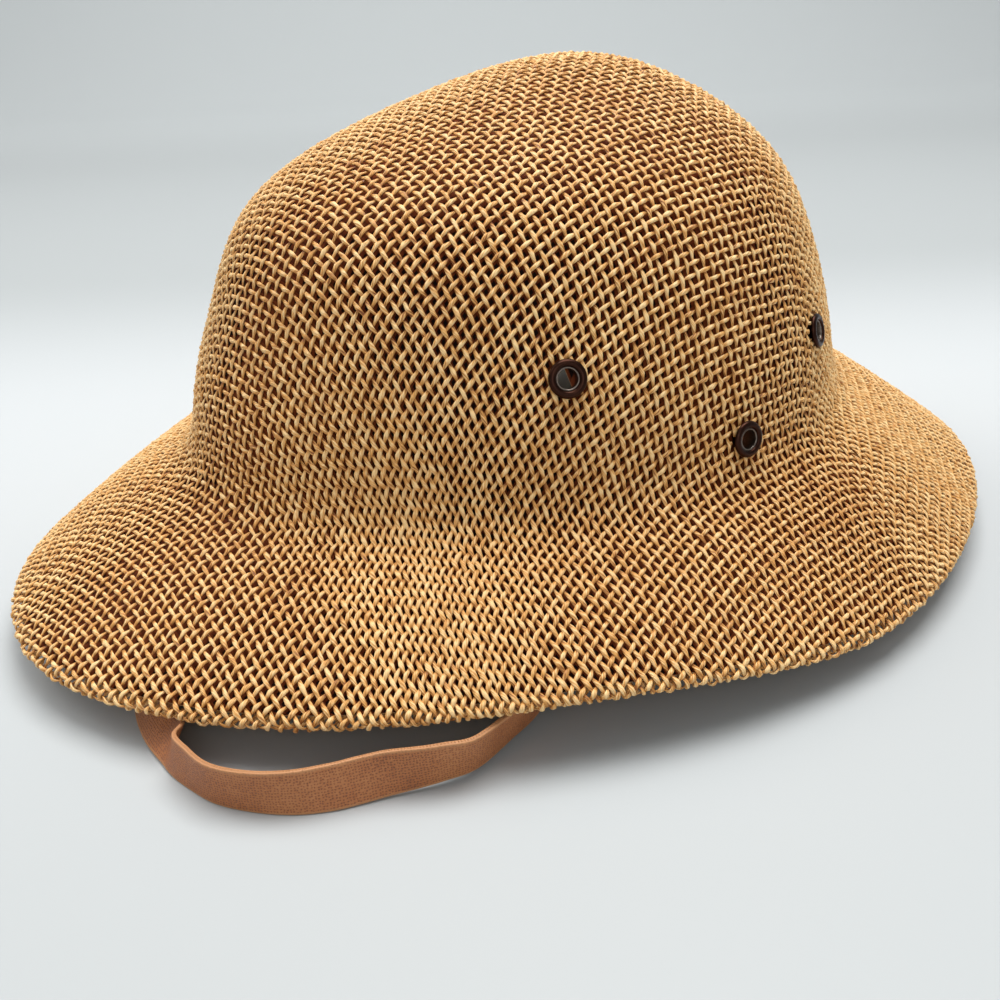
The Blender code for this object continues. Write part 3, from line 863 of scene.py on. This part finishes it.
def smoothPiece(name, shape, finish):
    bmesh.ops.recalc_face_normals(shape, faces=shape.faces)
    mesh = bpy.data.meshes.new(name)
    shape.to_mesh(mesh)
    shape.free()
    mesh.shade_smooth()
    mesh.materials.append(finish)
    return linked(name, mesh)


def turnEyelet(name, place, seat, grip, size):
    shape = bmesh.new()
    layer = shape.verts.layers.float.new("worn")
    rings = []
    for radius, height, worn in eyeletSection(size, seat, grip):
        ring = []
        for k in range(size["sides"]):
            turn = 2 * math.pi * k / size["sides"]
            vert = shape.verts.new(place @ Vector((radius * math.cos(turn), radius * math.sin(turn), height)))
            vert[layer] = worn
            ring.append(vert)
        rings.append(ring)
    for ring, following in zip(rings, rings[1:] + rings[:1]):
        for k in range(size["sides"]):
            n = (k + 1) % size["sides"]
            shape.faces.new((ring[k], ring[n], following[n], following[k]))
    return smoothPiece(name, shape, bronze)


strapSize = {  # metres; the band stands on its edge and runs under the brim
    "width": 0.0115, "thickness": 0.0013, "gap": 0.0006, "tail": 0.0085, "lead": 0.0051,
    "corner": 0.00035, "stepsPerRow": 10,
}

eyeletRings = []
for name, (place, seat, holdsStrap) in eyelets.items():
    grip = helmetForm["wall"] + (strapSize["gap"] + strapSize["thickness"] if holdsStrap else 0.0)
    ring = turnEyelet(name + "_ring", place, seat, grip, eyeletSize)
    eyeletRings.append((ring, name))
print("pith helmet: eyelets turned")

# Lower edge of the band from left to right: degrees from the front, share of a reach, height over
# the table as a share of the band's width, lean from upright in degrees
strapRiseLeft = (
    (76.6, 0.920, 3.03, 2.0), (68.0, 0.978, 2.04, 4.0), (61.1, 1.074, 1.30, 8.0),
    (56.7, 1.170, 0.72, 18.0),
)
strapLie = (
    (54.5, 0.901, 0.42, 25.0), (52.1, 0.946, 0.25, 27.0), (49.5, 1.002, 0.14, 20.0),
    (47.1, 1.025, 0.12, 9.0), (45.0, 1.038, 0.08, 0.0), (43.0, 1.051, 0.04, -9.0),
    (41.1, 1.067, 0.01, -13.0), (39.2, 1.082, 0.00, -11.0), (36.5, 1.093, 0.00, -4.0),
    (33.3, 1.093, 0.00, 2.0), (29.8, 1.084, 0.00, 3.0), (26.5, 1.062, 0.00, -3.0),
    (23.9, 1.043, 0.00, -10.0), (21.9, 1.026, 0.00, -36.0), (20.1, 1.012, 0.00, -47.0),
    (18.3, 0.997, 0.00, -46.0), (16.2, 0.978, 0.00, -42.0), (13.2, 0.950, 0.00, -36.0),
    (9.0, 0.910, 0.00, -28.0), (2.0, 0.847, 0.00, -18.0), (-8.0, 0.768, 0.00, -8.0),
    (-22.0, 0.688, 0.00, 4.0), (-38.0, 0.631, 0.00, 7.0),
)
strapRiseRight = ((-53.3, 0.867, 0.22, 5.0), (-66.6, 0.865, 1.10, 4.0), (-76.9, 0.901, 2.60, 3.0))


def strapAtEyelet(sign, shift):
    _, degrees, run, _ = eyeletPlaces[1]
    depth = helmetForm["wall"] + strapSize["gap"] + strapSize["thickness"] / 2

    def onWall(turned):
        spot = run * np.array([[math.sin(turned), -math.cos(turned)]])
        normal = unit(readMap("normals", spot)[0])
        return readMap("points", spot)[0] - normal * depth, normal

    middle, _ = onWall(degrees * sign * degree)
    around = shift / math.hypot(middle[0], middle[1])
    place, normal = onWall((degrees * degree + around) * sign)
    width = unit(np.array([0.0, 0.0, 1.0]) - normal * normal[2])
    return place - width * strapSize["width"] / 2, width


def strapStretch(rows, reach):
    for degrees, share, height, lean in rows:
        x, y = (float(value[0]) for value in reach(np.array([degrees * degree]))[:2])
        tilt = lean * degree
        out = np.array([x, y, 0.0]) / math.hypot(x, y)
        lift = height * strapSize["width"] + strapSize["thickness"] / 2 * abs(math.sin(tilt))
        width = np.array([0.0, 0.0, math.cos(tilt)]) + out * math.sin(tilt)
        yield np.array([x * share, y * share, lift]), width


def strapPath():
    rows = [strapAtEyelet(1, shift) for shift in (strapSize["tail"], 0.0, -strapSize["lead"])]
    rows += strapStretch(strapRiseLeft, creaseEdge)
    rows += strapStretch(strapLie, rimEdge)
    rows += strapStretch(strapRiseRight, creaseEdge)
    rows += [strapAtEyelet(-1, shift) for shift in (-strapSize["lead"], 0.0, strapSize["tail"])]
    edges, widths = (np.array(column) for column in zip(*rows))
    steps = (len(rows) - 1) * strapSize["stepsPerRow"]
    places = np.arange(steps + 1) / strapSize["stepsPerRow"]
    edge = np.stack([throughRows(column, places) for column in edges.T], -1)
    width = np.stack([throughRows(column, places) for column in widths.T], -1)
    tangent = unit(np.gradient(edge, axis=0))
    width = unit(width - tangent * np.sum(width * tangent, axis=1)[:, None])
    return edge, width, np.cross(tangent, width)


def leatherBand(size, finish):
    edge, width, face = strapPath()
    half, corner, across = size["thickness"] / 2, size["corner"], size["width"]
    side = [(corner * (1 - math.cos(t)), half - corner + corner * math.sin(t))
            for t in (0.0, math.pi / 6, math.pi / 3, math.pi / 2)]
    middle = [(across * part, half) for part in (0.08, 0.25, 0.5, 0.75, 0.92)]
    top = side + middle + [(across - a, t) for a, t in side[::-1]]
    section = top + [(a, -t) for a, t in top[::-1]]
    cut = [min(a, across - a) < corner * 1.01 for a, _ in section]
    steps = np.linalg.norm(np.diff(edge + width * across / 2, axis=0), axis=1)
    length = np.concatenate([[0.0], np.cumsum(steps)])
    shape = bmesh.new()
    edgeLayer = shape.verts.layers.float.new("cutEdge")
    chart = shape.loops.layers.uv.new("UVMap")
    rings = []
    for start, wide, thick in zip(edge, width, face):
        ring = []
        for (a, t), onEdge in zip(section, cut):
            point = start + wide * a + thick * t
            vert = shape.verts.new((point[0], point[1], max(point[2], 0.0)))
            vert[edgeLayer] = 1.0 if onEdge else 0.0
            ring.append(vert)
        rings.append(ring)
    count = len(section)
    for k in range(len(rings) - 1):
        for n in range(count):
            m = (n + 1) % count
            quad = shape.faces.new((rings[k][n], rings[k][m], rings[k + 1][m], rings[k + 1][n]))
            for loop, row, col in zip(quad.loops, (k, k, k + 1, k + 1), (n, m, m, n)):
                away, thick = section[col]
                loop[chart].uv = (length[row] * 1000, away * 1000 + (40 if thick < 0 else 0))
    for ring in (rings[0], rings[-1]):
        end = shape.faces.new(ring)
        for loop in end.loops:
            loop[chart].uv = (0.0, 0.0)
    print("pith helmet: strap length", round(float(length[-1]), 4))
    return smoothPiece("chin_strap_band", shape, finish)


leatherLook = {
    "shade": (0.190, 0.062, 0.024), "face": (0.395, 0.132, 0.038), "rub": (0.530, 0.235, 0.088),
    "edge": (0.520, 0.245, 0.100), "dimplePitch": 0.72, "dimpleDepth": 0.00018, "dimpleUneven": 0.42,
    "dimpleTone": 0.50, "middleTone": 0.05, "ageTone": 0.45, "grainTone": 0.55, "edgeShare": 0.8,
}


def dimpledLeather(look):
    made, tree, shader = newFinish("dimpledLeather")
    place = objectPlace(tree)
    chart = uvChart(tree)
    cutEdge = readAttribute(tree, "cutEdge")
    drift = nodeOf(tree, "ShaderNodeTexNoise", {"Vector": chart, "Scale": 0.8}).outputs["Color"]
    moved = vectorNode(tree, "ADD", chart, vectorNode(tree, "SCALE", drift, 0.5))
    cells = nodeOf(tree, "ShaderNodeTexVoronoi", {
        "Vector": moved, "Scale": 1.0 / look["dimplePitch"], "Randomness": look["dimpleUneven"]},
        voronoi_dimensions="2D")
    dimple = nodeOf(tree, "ShaderNodeMapRange", {
        "Value": cells.outputs["Distance"], "From Min": 0.08, "From Max": 0.42},
        interpolation_type="SMOOTHSTEP")
    age = placeGroup(tree, patches, "Patches", {"Position": place, "Size": 60.0, "Contrast": 1.8})
    grain = noiseOn(tree, place, 900.0, 3.0)
    # the dimples take the painted shade colour and the raised grain the rubbed one
    lift = mathNode(
        tree, "MULTIPLY_ADD", dimple.outputs["Result"], look["dimpleTone"], look["middleTone"])
    lift = shiftBy(tree, lift, age, look["ageTone"])
    lift = shiftBy(tree, lift, grain, look["grainTone"])
    colour = rampOf(tree, lift, ((0.08, look["shade"]), (0.46, look["face"]), (0.95, look["rub"])))
    edged = mixColours(tree, mathNode(tree, "MULTIPLY", cutEdge, look["edgeShare"]), colour, look["edge"])
    tree.links.new(edged, shader.inputs["Base Color"])
    rough = mathNode(tree, "MULTIPLY_ADD", grain, 0.2, 0.44)
    tree.links.new(rough, shader.inputs["Roughness"])
    height = mathNode(tree, "MULTIPLY_ADD", grain, 0.25, dimple.outputs["Result"])
    addBump(tree, shader, height, 0.6, look["dimpleDepth"])
    return made


strapBand = leatherBand(strapSize, dimpledLeather(leatherLook))

table = {  # white table that turns up into a grey backdrop, with painted shade towards the front and painted light high up the backdrop
    "reach": 1.6, "bend": 0.5, "height": 1.4, "white": (0.530, 0.550, 0.555), "grey": (0.395, 0.415, 0.415),
    "near": (0.435, 0.455, 0.455), "far": (0.510, 0.535, 0.535), "shadeFrom": -0.22, "shadeTo": 0.08,
    "fadeFrom": 0.10, "fadeTo": 0.34, "paintedLightFrom": 0.72, "paintedLightTo": 1.15,
}


def layTable(sizes):
    turn = cameraPlace["azimuth"] * degree
    away = Vector((-math.sin(turn), math.cos(turn), 0.0))
    side = Vector((math.cos(turn), math.sin(turn), 0.0))
    rows = [(-sizes["reach"], 0.0), (0.0, 0.0), (sizes["reach"] - sizes["bend"], 0.0)]
    for step in range(1, 13):
        angle = math.pi / 2 * step / 12
        rows.append((sizes["reach"] - sizes["bend"] + sizes["bend"] * math.sin(angle),
                     sizes["bend"] * (1 - math.cos(angle))))
    rows.append((sizes["reach"], sizes["height"]))
    verts = [tuple(away * far + side * wide * sizes["reach"] + Vector((0, 0, up)))
             for far, up in rows for wide in (-1.0, 1.0)]
    faces = [(2 * k, 2 * k + 1, 2 * k + 3, 2 * k + 2) for k in range(len(rows) - 1)]
    mesh = bpy.data.meshes.new("table")
    mesh.from_pydata(verts, [], faces)
    mesh.shade_smooth()
    made, tree, shader = newFinish("tableTop")
    place = objectPlace(tree)
    far = nodeOf(tree, "ShaderNodeVectorMath", {0: place, 1: tuple(away)}, operation="DOT_PRODUCT")
    shade, fade, paintedLightHigh = (nodeOf(tree, "ShaderNodeMapRange", {
        "Value": far.outputs["Value"], "From Min": sizes[start], "From Max": sizes[end]},
        interpolation_type="SMOOTHSTEP").outputs["Result"]
        for start, end in (("shadeFrom", "shadeTo"), ("fadeFrom", "fadeTo"), ("paintedLightFrom", "paintedLightTo")))
    # near is painted shade: the table is darker towards the front
    tone = mixColours(tree, shade, sizes["near"], sizes["white"])
    tone = mixColours(tree, fade, tone, sizes["grey"])
    # far is painted light: the backdrop turns paler again high up
    tree.links.new(mixColours(tree, paintedLightHigh, tone, sizes["far"]), shader.inputs["Base Color"])
    shader.inputs["Roughness"].default_value = 0.55
    mesh.materials.append(made)
    linked("table", mesh)


layTable(table)

roomLight = {"colour": (0.86, 0.89, 0.92, 1.0), "strength": 0.42, "lampsAim": (0.0, 0.0, 0.06)}
lamps = (  # name, place, size, watts
    ("overhead", (-0.10, 0.30, 1.50), 1.1, 30.0),
    ("window", (-0.90, -0.70, 1.05), 0.9, 7.5),
    ("fill", (1.30, -0.90, 0.80), 1.0, 5.0),
)


def hangLamps():
    aim = Vector(roomLight["lampsAim"])
    for name, place, size, watts in lamps:
        lamp = bpy.data.lights.new(name, "AREA")
        lamp.shape, lamp.size, lamp.energy = "SQUARE", size, watts
        holder = linked(name, lamp)
        holder.location = place
        holder.rotation_mode = "QUATERNION"
        holder.rotation_quaternion = (Vector(place) - aim).to_track_quat("Z", "Y")
    world = bpy.data.worlds.new("paleRoom")
    world.use_nodes = True
    fillInputs(world.node_tree, world.node_tree.nodes["Background"], {
        "Color": roomLight["colour"], "Strength": roomLight["strength"]})
    bpy.context.scene.world = world


hangLamps()
bpy.context.scene.view_settings.view_transform = "Standard"
print("pith helmet: table and lamps set")

for piece in outerPly + [innerCloth]:
    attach(piece, "root")
    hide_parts("helmet_shell")
for ring, node in eyeletRings:
    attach(ring, "root")
    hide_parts(node)
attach(strapBand, "root")
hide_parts("chin_strap")
